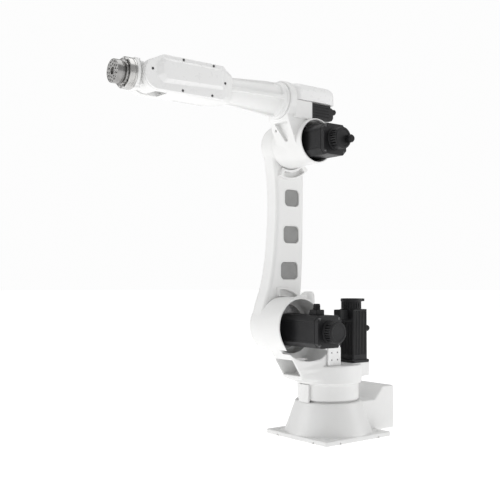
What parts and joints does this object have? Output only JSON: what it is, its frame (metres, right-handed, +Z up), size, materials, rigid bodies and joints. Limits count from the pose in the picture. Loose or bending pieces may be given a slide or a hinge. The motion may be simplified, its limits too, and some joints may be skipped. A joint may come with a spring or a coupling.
{
  "type": "six-axis industrial robot arm",
  "caption": "Floor-mounted six-axis articulated robot arm: waist, shoulder, elbow and three wrist axes, with separate motors, covers and castings.",
  "frame": {"origin": "centre of the base plate's underside, on the waist axis", "axes": "+Z up; +X the way the forearm and the tool flange point at rest; +Y the side that carries the shoulder and elbow motors"},
  "size_m": [1.2625, 0.419, 1.3716],
  "materials": {
    "base_paint": "off-white satin paint over cast iron, fine cast texture",
    "arm_paint": "off-white satin paint over cast aluminium, fine cast texture",
    "cover_white": "moulded off-white cover, soft gloss",
    "motor_black": "black anodised and painted motor housing, satin",
    "plug_black": "black moulded connector plastic, matt",
    "window_grey": "mid-grey blank cover plate, matt",
    "steel": "turned steel, fine lathe marks",
    "dark_steel": "oiled dark steel",
    "belt_rubber": "black toothed belt rubber",
    "zinc": "zinc plated steel pulley"
  },
  "bodies": {
    "base": {"base_casting": "base_paint", "base_connector_panel": "dark_steel", "power_connector": "plug_black", "signal_connector": "plug_black", "j1_stop_block": "base_paint", "j1_reducer_case": "dark_steel"},
    "turret": {"turret_casting": "base_paint", "j1_reducer_output": "dark_steel", "j1_motor_flange": "motor_black", "j1_motor_body": "motor_black", "j1_encoder_cap": "motor_black", "j1_motor_terminal_box": "plug_black", "j1_motor_plug": "plug_black", "terminal_plate": "arm_paint", "j2_motor_body": "motor_black", "j2_encoder_cap": "motor_black", "j2_motor_terminal_box": "plug_black", "j2_motor_plug": "plug_black", "j2_reducer_case": "dark_steel"},
    "upper_arm": {"upper_arm_casting": "arm_paint", "lower_window_cover": "window_grey", "middle_window_cover": "window_grey", "upper_window_cover": "window_grey", "j2_output_flange": "dark_steel", "j3_output_flange": "dark_steel", "lower_hub_cap": "cover_white", "upper_hub_cap": "cover_white"},
    "elbow": {"elbow_casting": "arm_paint", "j3_motor_body": "motor_black", "j3_encoder_cap": "motor_black", "j3_motor_plug": "plug_black", "j3_reducer_case": "dark_steel", "j4_motor_body": "motor_black", "j4_encoder_cap": "motor_black", "j4_motor_plug": "plug_black", "rear_top_cover": "cover_white"},
    "forearm": {"forearm_tube": "arm_paint", "wrist_casing": "arm_paint", "near_side_cover": "cover_white", "far_side_cover": "cover_white", "near_cover_screw_1": "dark_steel", "near_cover_screw_2": "dark_steel", "near_cover_screw_3": "dark_steel", "near_cover_screw_4": "dark_steel", "near_cover_screw_5": "dark_steel", "near_cover_screw_6": "dark_steel", "top_plug": "plug_black", "j5_motor": "motor_black", "j6_motor": "motor_black", "j5_belt": "belt_rubber", "j5_bearing_near": "steel", "j5_bearing_far": "steel"},
    "belt_drive": {"j5_drive_pulley": "zinc"},
    "wrist": {"wrist_body": "arm_paint", "j5_shaft_near": "steel", "j5_shaft_far": "steel", "j5_driven_pulley": "zinc", "j6_housing_ring": "steel"},
    "tool": {"tool_flange": "steel"}
  },
  "joints": [
    {"name": "j1_waist", "type": "hinge", "parent": "base", "child": "turret", "pos_m": [0, 0, 0.147], "axis": [0, 0, 1], "range_deg": [-160, 160]},
    {"name": "j2_shoulder", "type": "hinge", "parent": "turret", "child": "upper_arm", "pos_m": [0.166, -0.09, 0.433], "axis": [0, 1, 0], "range_deg": [-60, 90]},
    {"name": "j3_elbow", "type": "hinge", "parent": "upper_arm", "child": "elbow", "pos_m": [0.125, -0.09, 1.146], "axis": [0, 1, 0], "range_deg": [-160, 50]},
    {"name": "j4_forearm_roll", "type": "hinge", "parent": "elbow", "child": "forearm", "pos_m": [0.255, 0, 1.296], "axis": [1, 0, 0], "range_deg": [-180, 180]},
    {"name": "j5_wrist_bend", "type": "hinge", "parent": "forearm", "child": "wrist", "pos_m": [0.826, 0, 1.296], "axis": [0, 1, 0], "range_deg": [-100, 85]},
    {"name": "j5_belt_drive_spin", "type": "hinge", "parent": "forearm", "child": "belt_drive", "pos_m": [0.62, 0.052, 1.296], "axis": [0, 1, 0], "range_deg": [-134, 114]},
    {"name": "j6_flange_roll", "type": "hinge", "parent": "wrist", "child": "tool", "pos_m": [0.926, 0, 1.296], "axis": [1, 0, 0], "range_deg": [-360, 360]}
  ],
  "couplings": [
    {"joint": "j5_belt_drive_spin", "follows": "j5_wrist_bend", "ratio": 1.3333}
  ]
}
